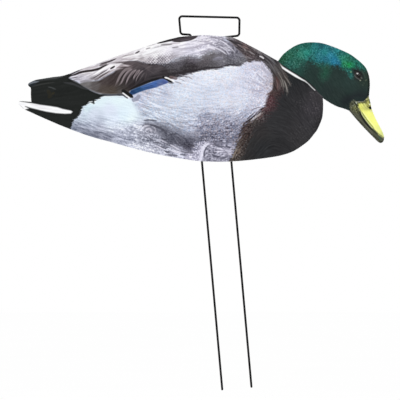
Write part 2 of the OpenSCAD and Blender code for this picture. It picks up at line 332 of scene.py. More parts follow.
def paint_belly(ink):
    """The mottled lower side: curled grey barbs over white, a dark wedge and a pale gap."""
    low = shape([
        (-262, 380), (-252, 392), (-243, 401), (-225, 402), (-200, 399), (-170, 397), (-148, 400),
        (-134, 402), (-120, 398), (-100, 385), (-82, 372), (-66, 362), (-58, 350), (-58, 330), (-150, 340),
        (-262, 368),
    ], 6)
    grey = spread([
        (-245, 396, 132, 138, 156), (-226, 397, 178, 185, 203), (-205, 391, 188, 192, 209),
        (-228, 388, 116, 120, 137), (-214, 395, 184, 190, 208), (-190, 397, 216, 224, 238),
        (-178, 396, 226, 233, 246), (-162, 397, 190, 196, 212), (-178, 383, 162, 166, 184),
        (-211, 381, 126, 129, 145), (-196, 376, 136, 139, 156), (-148, 393, 222, 226, 241),
        (-158, 385, 160, 164, 181), (-140, 384, 160, 162, 177), (-130, 386, 180, 180, 194),
        (-160, 374, 162, 166, 184), (-139, 374, 140, 143, 158), (-129, 374, 148, 151, 166),
        (-170, 372, 172, 176, 194), (-128, 381, 164, 166, 181), (-133, 365, 214, 216, 232),
        (-146, 365, 214, 217, 232), (-160, 365, 210, 213, 229), (-120, 365, 154, 156, 171),
        (-108, 367, 132, 133, 148), (-121, 355, 200, 202, 218), (-100, 356, 160, 162, 178),
        (-85, 350, 176, 178, 197), (-90, 356, 216, 217, 235), (-110, 356, 204, 206, 222),
        (-70, 351, 190, 188, 207), (-70, 357, 142, 141, 158), (-61, 356, 184, 182, 200),
        (-61, 366, 120, 118, 134),
    ], 6)
    ink = colour_mix(ink, low, grey)
    ink = tone(ink, low, (BROAD, 8), (HAIR, 10))
    curled = above(GRID_X, -205, 60)
    ink = tone(ink, low * (1 - curled), (FINE, 10))
    ink = tone(ink, low * curled, (STRAND, 11), (MOTTLE, 8), (PEBBLE, 13))
    # A curl of barbs: part rings, pale and dark in turn, each opened a little less than the last.
    for k, r in enumerate([3, 6, 8.6, 11]):
        turn = np.radians(np.linspace(-60 + 12 * k, 200 - 14 * k, 9))
        ring = [(-132 + r * 1.15 * math.cos(a), 388 + r * 0.85 * math.sin(a)) for a in turn]
        shade = (214, 210, 222) if k % 2 == 0 else (128, 126, 138)
        ink = brush(ink, ring, 1.7, shade, 0.75, 1.2)
    wedge = shape([
        (-139, 399), (-128, 398.5), (-118, 397.4), (-106, 396), (-97, 392), (-91, 388), (-82, 385),
        (-70, 381.4), (-60, 378.6), (-46, 377), (-46, 372), (-56, 370.6), (-64, 369), (-65, 362),
        (-68, 356.4), (-76, 356.6), (-84, 360), (-93, 365), (-104, 368.6), (-112, 378), (-120, 385),
        (-131, 393),
    ], 4, BROAD * 1.3 + STRAND * 1.4 + PEBBLE * 0.7)
    dark = spread([
        (-128, 396, 112, 114, 128), (-112, 393, 108, 110, 123), (-112, 384, 92, 93, 105),
        (-98, 390, 116, 118, 132), (-85, 375, 82, 82, 94), (-72, 363, 66, 65, 76),
        (-60, 375, 106, 106, 120), (-98, 379, 84, 85, 97), (-82, 385, 138, 139, 154),
        (-70, 381, 128, 129, 144), (-70, 374, 88, 88, 101),
    ], 5)
    ink = colour_mix(ink, wedge * 0.93, dark)
    ink = tone(ink, wedge, (STRAND, 8), (MOTTLE, 6))
    dusk, gleam = (100, 100, 113), (218, 216, 230)
    ink = strokes(ink, 1.2, [
        (2.2, (96, 98, 112), 0.85, (-141, 402.6), (-132, 403.4), (-119, 402.6)),
        (1.5, (136, 139, 156), 0.7, (-124, 399.4), (-112, 399), (-98, 397)),
        (3, (72, 72, 83), 0.6, (-132, 397), (-122, 394), (-113, 390), (-104, 383)),
        (1.5, (56, 56, 66), 0.6, (-104, 381), (-94, 382.6), (-86, 382)),
        (2, dusk, 0.8, (-126, 370), (-118, 369.4), (-111, 366.6)),
        (2.2, dusk, 0.8, (-117, 364.6), (-109, 361.4), (-103, 362.4)),
        (2.4, dusk, 0.8, (-109, 357.4), (-105, 355.6), (-100, 356)),
        (2.4, dusk, 0.75, (-106, 352.2), (-98, 350.8), (-88, 349.4)),
        (2, dusk, 0.7, (-86, 352.4), (-80, 351), (-75, 350.4)),
        (1.8, dusk, 0.75, (-135, 380), (-129, 375), (-122, 372)),
        (2.2, (78, 78, 90), 0.8, (-114, 376), (-108, 374), (-103, 375)),
        (1.7, gleam, 0.75, (-124, 366), (-116, 363), (-110, 358.6)),
        (1.9, gleam, 0.75, (-101, 367), (-93, 362.6), (-86, 358.6)),
        (2.2, gleam, 0.75, (-99, 357), (-91, 355.4), (-82, 354.8)),
        (1.5, gleam, 0.6, (-118, 375), (-110, 371.4), (-104, 369)),
        (2, (204, 206, 222), 0.6, (-131, 370), (-124, 366), (-118, 360)),
    ])
    haze = shape([
        (-66, 338), (-65, 352), (-61, 362), (-54, 370), (-38, 373), (-36, 366), (-50, 338),
    ], 4, MOTTLE * 2)
    ink = colour_mix(ink, haze * 0.75, (196, 194, 214))
    ink = tone(ink, haze, (PEBBLE, 11), (MOTTLE, 6))
    gap = shape([
        (-57.5, 338), (-57, 346), (-55.5, 354), (-54, 361), (-50, 367), (-43, 369), (-42, 367.5),
        (-46.5, 363), (-49.5, 356), (-50.5, 348), (-50.5, 338),
    ], 1.8, MOTTLE * 0.5)
    ink = colour_mix(ink, gap * 0.9, (228, 227, 242))
    plume = shape([
        (-51, 338), (-50.5, 347), (-49.5, 355), (-46, 362), (-41.5, 366), (-38, 362), (-36, 355),
        (-30, 352), (-12, 351), (-8, 346), (-9, 338),
    ], 1.4)
    ink = colour_mix(ink, plume, (146, 145, 161))
    ink = tone(ink, plume, (STRAND, 12), (PEBBLE, 15))
    ink = brush(ink, [(-50, 346), (-48.6, 356), (-45, 363), (-41.5, 366)], 1.8, (96, 96, 110), 0.8)
    front = shape([
        (-37, 362), (-33, 366), (-24, 367), (-12, 368), (-3, 366), (0, 362), (-3, 357), (-6, 350),
        (-20, 350), (-33, 353), (-37, 358),
    ], 3)
    ink = colour_mix(ink, front * 0.85, (172, 170, 187))
    ink = tone(ink, front, (HAIR, 12), (STRAND, 12), (PEBBLE, 8))
    ink = strokes(ink, 3, [
        (5, (110, 109, 125), 0.6, (-46, 371), (-34, 370), (-22, 369.4), (-10, 371), (0, 373)),
    ])
    slate, pale = (88, 87, 102), (208, 206, 222)
    ink = strokes(ink, 1.2, [
        (2.6, slate, 0.75, (-34, 366), (-26, 364), (-18, 364)),
        (3.2, slate, 0.75, (-17, 367), (-14, 363), (-9, 362)),
        (3.2, slate, 0.75, (-38, 352), (-33, 349), (-26, 348)),
        (1.6, slate, 0.75, (-28, 346), (-20, 347), (-12, 349)),
        (2.2, slate, 0.75, (-36, 357), (-34, 354), (-30, 355)),
        (2.2, slate, 0.75, (-2, 381), (4, 383), (8, 387)),
    ])
    return strokes(ink, 1.4, [
        (2.4, pale, 0.7, (-22, 372), (-16, 371)),
        (3.6, pale, 0.7, (-18, 358), (-9, 356)),
        (2.2, pale, 0.7, (-27, 361), (-22, 358)),
    ])


def paint_shadow_band(ink):
    """The grey-brown shadow under the back feathers, ragged where it meets the flank."""
    under_edge = shape([
        (-160, 500), (-120, 520), (-60, 530), (-10, 530), (30, 510), (22, 491), (14, 490.8), (8, 487),
        (4, 484.2), (-12, 484.2), (-22, 481.2), (-30, 479.6), (-42, 478.8), (-56, 476.4), (-70, 472.6),
        (-82, 468.8), (-92, 466.2), (-104, 464.4), (-112, 464), (-140, 460), (-160, 470),
    ], 1.2, FINE * 0.6)
    upper_edge = shape([
        (-160, 478), (-142, 490.6), (-128, 491), (-112, 490.6), (-100, 492.6), (-90, 495.4), (-80, 499),
        (-66, 500), (-57, 497), (-50, 502), (-42, 506), (-30, 508), (-22, 514), (-10, 526), (10, 526),
        (40, 500), (30, 440), (-160, 440),
    ], 6, MOTTLE * 1.1 + FINE * 0.9)
    band = under_edge * upper_edge
    grey = spread([
        (-135, 478, 64, 59, 63), (-115, 472, 58, 54, 57), (-118, 483, 68, 63, 68), (-100, 474, 60, 57, 59),
        (-100, 484, 84, 81, 87), (-86, 490, 98, 95, 102), (-78, 480, 58, 55, 58), (-65, 494, 98, 93, 101),
        (-66, 483, 54, 50, 53), (-50, 482, 70, 67, 71), (-48, 492, 100, 95, 100), (-94, 491, 98, 94, 101),
        (-40, 502, 100, 96, 100), (-22, 503, 116, 113, 122), (-35, 486, 84, 82, 86),
        (-52, 486, 92, 88, 92), (-12, 490, 96, 95, 102), (-10, 500, 108, 107, 118),
        (8, 492, 110, 109, 116), (4, 487, 98, 97, 104), (-4, 508, 118, 116, 128), (2, 500, 112, 111, 121),
        (-12, 516, 130, 128, 142), (-10, 523, 140, 138, 152), (-20, 492, 118, 116, 124),
        (-30, 493, 112, 110, 117),
    ], 5)
    ink = colour_mix(ink, band, grey)
    ink = tone(ink, band, (BROAD, 4), (GRAIN, 4), (MOTTLE, 4))
    bright = above(GRID_X, -30, 25)
    ink = tone(ink, band * bright, (GRAIN, 6), (HAIR, 6))
    return strokes(ink, 1.6, [
        (4.6, (132, 130, 144), 0.6, (-37, 493.4), (-28, 496), (-20, 495)),
        (1.6, (158, 156, 171), 0.6, (-32, 496.4), (-26, 497.8), (-21, 497)),
        (3.4, (46, 43, 45), 0.6, (-104, 470), (-92, 473.4), (-78, 475.6), (-60, 478.6), (-44, 482)),
        (2, (50, 47, 50), 0.7, (-50, 481.6), (-40, 482), (-30, 482), (-20, 484.4)),
        (1.5, (58, 55, 60), 0.85, (-24, 483.4), (-12, 486.2), (0, 485.8), (6, 485.6)),
        (2, (166, 164, 178), 0.55, (-9, 520), (-4, 513), (-2, 505)),
        (1.6, (150, 148, 160), 0.5, (-3, 516), (2, 508), (4, 500)),
        (1.6, (146, 142, 150), 0.5, (2, 510), (7, 503), (10, 496)),
        (2, (136, 134, 146), 0.5, (-6, 506), (-3, 500), (-2, 494)),
        (1.4, (92, 90, 98), 0.6, (-7, 517), (-5, 509), (-6, 500)),
        (2, (84, 82, 88), 0.5, (-15, 500), (-12, 495), (-4, 492)),
    ])


def paint_back(ink):
    """The pale back feathers along the top edge, streaked white, pink-grey and brown."""
    back = shape([
        (-256, 468), (-248, 466), (-241, 462.6), (-228, 458), (-214, 463), (-204, 466), (-194, 472),
        (-180, 480), (-164, 490.5), (-148, 491.5), (-138, 489.5), (-122, 488), (-106, 489), (-95, 495),
        (-80, 500), (-66, 501), (-56, 500), (-50, 504), (-42, 508.5), (-30, 508.5), (-20, 506), (-13, 501),
        (-10, 501), (-9, 508), (-12, 516), (-18, 523), (-22, 532), (-50, 540), (-100, 532), (-180, 506),
        (-250, 482), (-270, 474),
    ], 1.8, GRAIN * 0.7)
    pale = spread([
        (-245, 466, 200, 198, 208), (-226, 466, 204, 201, 212), (-210, 476, 226, 223, 230),
        (-215, 465, 128, 123, 128), (-236, 463, 178, 175, 186), (-203, 468, 120, 113, 117),
        (-225, 475, 226, 222, 228), (-217, 472, 232, 228, 234), (-190, 484, 222, 218, 224),
        (-175, 492, 214, 208, 214), (-161, 497, 230, 225, 230), (-165, 503, 226, 221, 226),
        (-150, 500, 238, 236, 240), (-130, 508, 252, 251, 254), (-142, 495, 172, 165, 170),
        (-130, 494, 166, 160, 167), (-124, 504, 250, 250, 253), (-112, 509, 246, 245, 250),
        (-138, 500, 240, 238, 242), (-113, 493, 142, 137, 145), (-100, 497, 178, 173, 182),
        (-103, 505, 232, 229, 238), (-112, 513, 248, 246, 250), (-90, 508, 214, 211, 223),
        (-85, 516, 232, 229, 238), (-70, 506, 218, 216, 231), (-60, 515, 228, 225, 238),
        (-70, 523, 214, 211, 222), (-50, 525, 224, 221, 234), (-42, 515, 212, 209, 223),
        (-50, 508, 214, 212, 228), (-32, 526, 214, 211, 225), (-24, 515, 150, 148, 162),
        (-15, 512, 146, 144, 156), (-12, 507, 160, 158, 172), (-20, 524, 162, 160, 174),
        (-160, 488, 170, 162, 166),
    ], 5)
    ink = colour_mix(ink, back, pale)
    ink = tone(ink, back, (BROAD, 9), (HAIR, 7))
    fore = above(GRID_X, -75, 25)
    ink = tone(ink, back * fore, (GRAIN, 9), (HAIR, 7), (STRAND, 15))
    ink = strokes(ink, 5, [
        (6, (150, 146, 158), 0.55, (-60, 500), (-50, 504), (-41, 509.5), (-28, 510), (-17, 505)),
    ])
    speckle = shape([(-134, 490), (-122, 500), (-104, 500), (-96, 494), (-108, 487), (-126, 486)], 8)
    # Two slanted sets of fine waves cross in the speckled patch.
    rising = np.sin((GRID_X + 0.9 * GRID_Z) * 1.6 + 0.6 * BLOTCH)
    falling = np.sin((GRID_X - 1.1 * GRID_Z) * 1.3 + 0.8 * BLOTCH)
    ink = tone(ink, speckle, (rising + 0.8 * falling + 0.5 * PEBBLE, 24))
    return strokes(ink, 1.1, [
        (3.6, (46, 42, 44), 0.95, (-121, 518.2), (-108, 521.6), (-96, 524), (-84, 526.4)),
        (8.2, (66, 60, 64), 0.95, (-98, 522), (-84, 524.4), (-72, 526.4), (-58, 529.6)),
        (3, (48, 44, 46), 0.9, (-92, 526), (-82, 528), (-72, 529.6)),
        (1.6, (112, 105, 111), 0.6, (-86, 522.4), (-78, 523.4), (-68, 525)),
        (2.2, (190, 182, 190), 0.7, (-101, 518.4), (-93, 518.4), (-84, 518.8)),
        (2.6, (86, 79, 82), 0.95, (-206, 487.2), (-192, 491), (-180, 496)),
        (1.4, (196, 190, 193), 0.6, (-180, 496), (-166, 500), (-150, 504)),
        (2.2, (92, 86, 90), 0.95, (-153, 503), (-149, 505), (-145.5, 507)),
        (1.4, (120, 112, 116), 0.6, (-172, 499), (-162, 500), (-152, 502)),
        (2, (170, 166, 170), 0.85, (-137, 509.6), (-133, 511), (-129, 511.6)),
        (1.6, (206, 202, 206), 0.8, (-136, 513.6), (-128, 515.6), (-120, 518)),
        (1.6, (206, 202, 206), 0.6, (-142, 500), (-130, 503), (-116, 509)),
        (1.4, (222, 219, 224), 0.5, (-128, 501), (-118, 506), (-108, 512)),
        (2.8, (150, 146, 151), 0.9, (-115, 516), (-105, 516.6), (-96, 517.2)),
        (2.2, (156, 152, 160), 0.85, (-98, 511.5), (-92, 512.6), (-87, 513)),
        (2, (58, 54, 56), 0.9, (-257, 469.4), (-247, 473), (-239, 477), (-230, 480.6)),
        (3.5, (60, 54, 56), 0.95, (-253, 468.8), (-243, 471.6), (-235, 474.8), (-226, 476.6), (-216, 478),
         (-207, 480.4), (-200, 484), (-191, 487.6)),
        (1.5, (104, 99, 106), 0.85, (-251, 465.8), (-245, 466.8), (-238, 468.6)),
        (1.3, (150, 146, 156), 0.7, (-248, 463.4), (-241, 463.6), (-234, 465)),
        (1.6, (172, 166, 172), 0.6, (-240, 470), (-228, 472.4), (-216, 474.6)),
        (3.4, (188, 180, 185), 0.7, (-238, 478), (-226, 480.4), (-214, 482.6), (-206, 486)),
        (2, (84, 76, 79), 0.75, (-184, 488.6), (-166, 490.6), (-150, 491.8), (-146, 491.6)),
        (1.6, (150, 142, 146), 0.6, (-196, 488), (-182, 490), (-170, 492)),
        (1.6, (164, 156, 160), 0.6, (-176, 495), (-160, 494.5), (-146, 496)),
        (2.6, (108, 100, 103), 0.75, (-207, 484.6), (-200, 486.6), (-194, 488)),
        (2.2, (244, 243, 245), 0.8, (-172, 497), (-158, 500), (-144, 502)),
        (4, (246, 246, 249), 0.75, (-144, 500), (-126, 508), (-106, 512)),
        (1.8, (212, 208, 214), 0.4, (-134, 500), (-118, 505), (-100, 508)),
        (1.8, (178, 172, 186), 0.6, (-86, 509), (-70, 511), (-52, 514)),
        (1.8, (170, 165, 180), 0.65, (-66, 512), (-50, 517), (-34, 519)),
        (1.6, (176, 170, 184), 0.6, (-60, 520), (-46, 521), (-34, 524)),
        (2.6, (226, 224, 238), 0.7, (-78, 503), (-66, 505), (-56, 506)),
        (2.2, (232, 229, 242), 0.7, (-60, 508), (-46, 512), (-30, 512)),
        (1.6, (136, 132, 145), 0.6, (-40, 527), (-30, 526), (-22, 523), (-12, 520)),
        (1.8, (140, 137, 150), 0.7, (-36, 519), (-28, 517), (-20, 512), (-14, 506)),
        (1.8, (214, 212, 225), 0.7, (-26, 514), (-18, 509.6), (-11, 501)),
        (1.8, (214, 212, 225), 0.6, (-20, 519), (-14, 515), (-6, 508), (-2, 503)),
        (1.6, (226, 223, 236), 0.7, (-27, 524), (-20, 520), (-14, 516)),
        (2.2, (236, 233, 244), 0.75, (-47, 512.5), (-39, 511.5), (-32, 509)),
        (2, (228, 226, 238), 0.7, (-37, 512.6), (-30, 510.6), (-22, 506.6), (-15, 501.4)),
        (1.5, (146, 143, 157), 0.7, (-31, 512.6), (-24, 511), (-18, 506)),
        (1.4, (150, 146, 158), 0.6, (-44, 527.4), (-34, 527.6), (-24, 527)),
        (1.5, (152, 149, 163), 0.65, (-38, 524), (-30, 521.4), (-22, 517), (-16, 512)),
        (2, (240, 237, 246), 0.6, (-62, 526), (-50, 527), (-40, 526)),
        (2.2, (238, 235, 245), 0.6, (-72, 517), (-60, 519), (-48, 519.6)),
    ])


def paint_shoulder(ink):
    """Brown-grey shoulder feathers from the back down to the tuft over the breast."""
    brown = shape([
        (-16, 534), (8, 526), (40, 510), (62, 494), (66, 486), (70, 478), (76, 468), (81, 457), (79, 454),
        (76, 460), (77, 446), (75.5, 441), (72, 452), (69, 447), (66, 455), (62, 446), (57, 445),
        (54, 448), (55.2, 458), (54, 468), (50.4, 477), (45.4, 482.6), (42, 487.4), (38, 491.2),
        (31, 491.6), (26, 492), (21, 491), (17, 491), (14, 496), (10, 502), (3, 507.5), (-3, 513.5),
        (-10, 520.5), (-15, 526), (-18, 531),
    ], 1.6, GRAIN * 0.8)
    shade = spread([
        (-10, 526, 118, 114, 120), (2, 520, 80, 73, 76), (12, 514, 100, 84, 85), (2, 514, 96, 82, 84),
        (24, 508, 90, 82, 84), (12, 506, 90, 82, 84), (20, 503, 98, 87, 88), (34, 506, 96, 91, 94),
        (20, 496, 96, 88, 92), (34, 498, 84, 78, 81), (48, 500, 74, 72, 75), (56, 492, 70, 69, 72),
        (50, 486, 92, 89, 92), (60, 482, 80, 77, 77), (67, 466, 82, 77, 75), (72, 458, 86, 82, 80),
        (61, 460, 66, 55, 55), (50, 488, 78, 75, 78), (60, 450, 78, 68, 68), (75, 446, 88, 86, 85),
        (0, 512, 108, 105, 112),
    ], 4)
    ink = colour_mix(ink, brown, shade)
    ink = tone(ink, brown, (BROAD, 6), (HAIR, 7))
    ink = tone(ink, brown * below(GRID_X, 46, 10), (GRAIN, 11))
    dark, light = (54, 50, 53), (152, 148, 151)
    return strokes(ink, 1, [
        (2, (64, 60, 64), 0.8, (-18, 526), (-8, 521), (4, 513), (12, 508)),
        (2, dark, 0.6, (-6, 523), (8, 516), (22, 510), (30, 502)),
        (1.8, dark, 0.6, (-2, 514), (8, 510), (18, 504), (24, 498)),
        (2, light, 0.65, (18, 507), (23, 503.5), (27.5, 501.2)),
        (2.2, dark, 0.6, (14, 498), (20, 494), (26, 494)),
        (2, (132, 127, 131), 0.6, (8, 500), (14, 497), (20, 496)),
        (1.8, (128, 124, 127), 0.6, (20, 512), (30, 508), (40, 501)),
        (2.2, (214, 212, 216), 0.85, (33, 499.6), (37, 498), (41, 495)),
        (2, (138, 128, 128), 0.8, (10, 510), (12, 508.6), (14.5, 506.6)),
        (1.8, (132, 112, 110), 0.7, (8, 515), (13, 513), (17, 510)),
        (2.2, (104, 98, 100), 0.6, (26, 494.6), (31, 493.8), (35, 493.6)),
        (2.2, (58, 54, 57), 0.8, (-12, 524), (-4, 520), (4, 517)),
        (2.2, (60, 55, 58), 0.7, (-3, 514), (4, 509), (11, 505)),
        (1.6, (120, 118, 121), 0.6, (38, 503), (46, 498), (54, 491), (58, 485)),
        (1.8, dark, 0.7, (36, 504), (44, 496), (52, 488), (56, 480)),
        (2.4, (58, 56, 58), 0.7, (44, 504), (52, 498), (60, 491)),
        (1.8, (104, 102, 105), 0.6, (44, 495), (49, 489), (54, 482), (58, 474)),
        (1.6, (134, 130, 125), 0.7, (61, 476), (66, 468), (69, 460), (71, 451)),
        (1.4, (128, 123, 119), 0.65, (64, 466), (66.6, 459), (67.4, 452)),
        (1.8, (140, 136, 132), 0.75, (68, 466), (73, 457), (76, 444)),
        (1.2, (64, 60, 60), 0.7, (63, 474), (69, 464), (73, 450)),
        (1.5, (120, 116, 113), 0.7, (70, 471), (76, 463), (80.4, 455)),
        (1.6, (70, 67, 67), 0.7, (62, 480), (68, 472), (72, 462)),
        (3, (84, 62, 60), 0.8, (58.4, 470), (61, 460), (60, 448)),
        (1.8, (84, 70, 70), 0.7, (63, 466), (64, 456), (62, 448)),
        (1.4, (124, 108, 108), 0.6, (59, 464), (61, 456), (61, 450)),
    ])


def paint_breast(ink):
    """The near-black breast, with a ragged red-brown fringe against the flank."""
    edge = [
        (56, 500), (56, 470), (55.4, 458), (54, 449), (49.6, 443.4), (46.6, 437), (44.4, 430), (42, 424),
        (36, 419), (31, 412), (25, 405), (15, 400), (9, 393), (7, 385), (3, 378), (0, 370), (-2, 361),
        (-6, 352), (-8, 330),
    ]
    rim = [(60, 320), (140, 360), (150, 420), (140, 440), (110, 470), (90, 480), (64, 496)]
    rough = below(GRID_Z, 428, 14)
    breast = shape(edge + rim, 2.4, HAIR * 0.6 + (MOTTLE * 1.5 + GRAIN * 1.3) * rough)
    shade = spread([
        (40, 360, 46, 47, 49), (60, 400, 51, 51, 53), (80, 430, 49, 49, 51), (70, 445, 45, 46, 48),
        (95, 380, 55, 54, 56), (110, 400, 56, 55, 58), (115, 420, 59, 57, 61), (120, 438, 60, 58, 61),
        (95, 450, 46, 46, 48), (30, 385, 52, 50, 51), (20, 372, 50, 50, 51), (65, 365, 46, 46, 48),
        (90, 465, 42, 44, 46), (10, 350, 48, 47, 48), (125, 395, 44, 43, 45),
    ], 8)
    ink = colour_mix(ink, breast, shade)
    ink = tone(ink, breast, (HAIR, 2), (FINE, 1.6))
    mottle = shape([(108, 446), (123, 440), (126, 410), (118, 390), (108, 404), (106, 425)], 7)
    rosy = shape([(80, 434), (100, 434), (106, 424), (98, 416), (84, 420)], 6)
    low = shape([(84, 366), (112, 384), (104, 396), (84, 392), (70, 380)], 7)
    flecks = np.clip(field_noise(1.1, 31) - 0.5, 0, 3)[..., None]
    for place, colour in ((mottle, (11, 10, 10)), (rosy, (8, 7, 7)), (low, (7, 7, 7))):
        ink = ink + (place * breast)[..., None] * flecks * colour
    # The fringe is what the breast covers and the same shape moved off the flank doesn't.
    fringe = breast * (1 - shape([(p[0] + 13, p[1] - 3) for p in edge] + rim, 7, HAIR * 2))
    rust = spread([
        (58, 462, 84, 68, 66), (54, 446, 74, 56, 56), (48, 434, 92, 64, 68), (47, 420, 86, 62, 66),
        (38, 412, 84, 72, 74), (24, 398, 74, 66, 64), (16, 390, 70, 57, 56), (12, 380, 68, 56, 53),
        (6, 368, 77, 66, 62), (1, 356, 94, 83, 79), (-3, 346, 88, 80, 76),
    ], 4)
    ink = colour_mix(ink, fringe * 0.9, rust)
    ink = tone(ink, fringe, (HAIR, 4), (MOTTLE, 9))
    ink = tone(ink, fringe * rough, (PEBBLE, 10), (GRAIN, 8))
    return strokes(ink, 1, [
        (2.6, (186, 180, 182), 0.75, (20, 402), (27, 407), (34, 412), (37, 416)),
        (2, (80, 74, 80), 0.7, (14, 404), (20, 409), (28, 416)),
        (2.2, (84, 76, 80), 0.7, (10, 398), (16, 402), (22, 406)),
        (1.8, (150, 138, 138), 0.6, (28, 408), (34, 410), (40, 416)),
        (2.4, (150, 138, 126), 0.6, (-7, 345), (-5, 350), (-2, 356), (0, 362)),
        (2.4, (120, 106, 94), 0.6, (0, 352), (3, 356), (5, 362)),
        (2, (52, 42, 44), 0.8, (12, 399), (18, 403), (25, 409), (31, 414)),
        (2, (60, 50, 54), 0.8, (27, 413), (33, 417), (39, 421), (44, 423)),
        (1.6, (122, 116, 130), 0.7, (20, 417), (28, 421), (37, 423)),
        (1.4, (196, 192, 206), 0.7, (24, 412), (30, 416), (36, 418)),
        (1.8, (104, 84, 84), 0.7, (31, 404), (36, 408), (40, 413)),
        (1.8, (54, 44, 48), 0.75, (4, 386), (9, 391), (13, 395)),
        (1.6, (130, 118, 118), 0.6, (16, 398), (21, 400), (26, 403)),
        (1.8, (150, 144, 156), 0.6, (-1, 371), (4, 376), (8, 381)),
        (2, (72, 64, 66), 0.6, (2, 378), (7, 384), (10, 392)),
        (1.8, (96, 76, 74), 0.8, (44, 441), (49, 444), (54, 448)),
        (1.6, (150, 138, 146), 0.6, (40, 428), (44, 433), (46, 438)),
        (1.6, (128, 104, 106), 0.6, (36, 416), (42, 421), (48, 424)),
    ])


def paint_rump(ink):
    """The black rump, with its grey sheen along the top and the bluish tail tip."""
    black = shape([
        (-335, 470), (-300, 476), (-262, 476), (-247, 471), (-252, 466.5), (-246, 462.5), (-236, 457.5),
        (-225, 450.5), (-214, 445), (-203, 441.5), (-196, 440.8), (-203, 438.2), (-208.6, 434.6),
        (-212.4, 432), (-215, 428.6), (-217.8, 431.4), (-221.8, 430), (-225, 427), (-230.8, 423),
        (-234.2, 417), (-236, 411.5), (-239.6, 407.4), (-243.8, 404.6), (-245.6, 400), (-247.2, 395),
        (-250, 388), (-256, 380), (-340, 400),
    ], 1.1, FINE * 0.9 * below(GRID_X, -200, 10) * (GRID_Z < 440), smooth=False)
    ink = colour_mix(ink, black, (38, 40, 39))
    ink = tone(ink, black, (BROAD, 1))
    ink = strokes(ink, 1.6, [
        (3, (82, 84, 86), 0.75, (-312, 458), (-296, 463), (-276, 466), (-256, 470)),
        (3.6, (112, 118, 126), 0.85, (-314, 456.5), (-306, 460), (-296, 462)),
        (3, (44, 48, 52), 0.9, (-312, 455), (-306, 456.5), (-300, 457)),
        (2, (60, 61, 60), 0.7, (-309, 452.5), (-300, 455.5), (-288, 458), (-272, 460)),
        (2.4, (48, 50, 50), 0.8, (-305, 462), (-285, 463.5), (-265, 465)),
        (3.4, (60, 61, 63), 0.8, (-262, 460), (-246, 457.5), (-232, 452), (-220, 448)),
        (1.6, (64, 63, 64), 0.7, (-250, 464), (-242, 461), (-236, 458)),
        (1.8, (78, 80, 82), 0.7, (-284, 453), (-278, 452), (-271, 449)),
        (6, (50, 47, 38), 0.6, (-285, 449), (-280, 441), (-284, 436)),
        (5, (54, 50, 38), 0.6, (-277, 445), (-274, 442)),
        (1.8, (72, 66, 60), 0.5, (-308.5, 450), (-308.5, 440), (-307.5, 432)),
    ])
    feather = shape([
        (-330, 429), (-327, 431.8), (-318, 430.3), (-308, 428.8), (-295, 426.3), (-280, 424.4),
        (-269, 422.6), (-261, 420), (-249, 417.6), (-246.5, 415.8), (-249, 413.2), (-258, 412.8),
        (-272, 413.8), (-286, 416), (-300, 419.4), (-310, 421.8), (-317.5, 424), (-312, 420.8),
        (-317, 419.2), (-322, 417), (-334, 424),
    ], 1, smooth=False)
    ink = colour_mix(ink, feather, (246, 246, 249))
    ink = tone(ink, feather, (BROAD, 3))
    return strokes(ink, 0.8, [
        (1.4, (136, 133, 138), 0.8, (-328, 432.2), (-318, 432), (-309, 430.6)),
        (1.4, (222, 218, 224), 0.8, (-312, 427.5), (-298, 425), (-284, 424)),
        (1.4, (230, 226, 230), 0.8, (-300, 422), (-286, 420), (-276, 420)),
        (1.6, (214, 213, 214), 0.8, (-326, 426), (-321, 421), (-318, 419)),
    ])


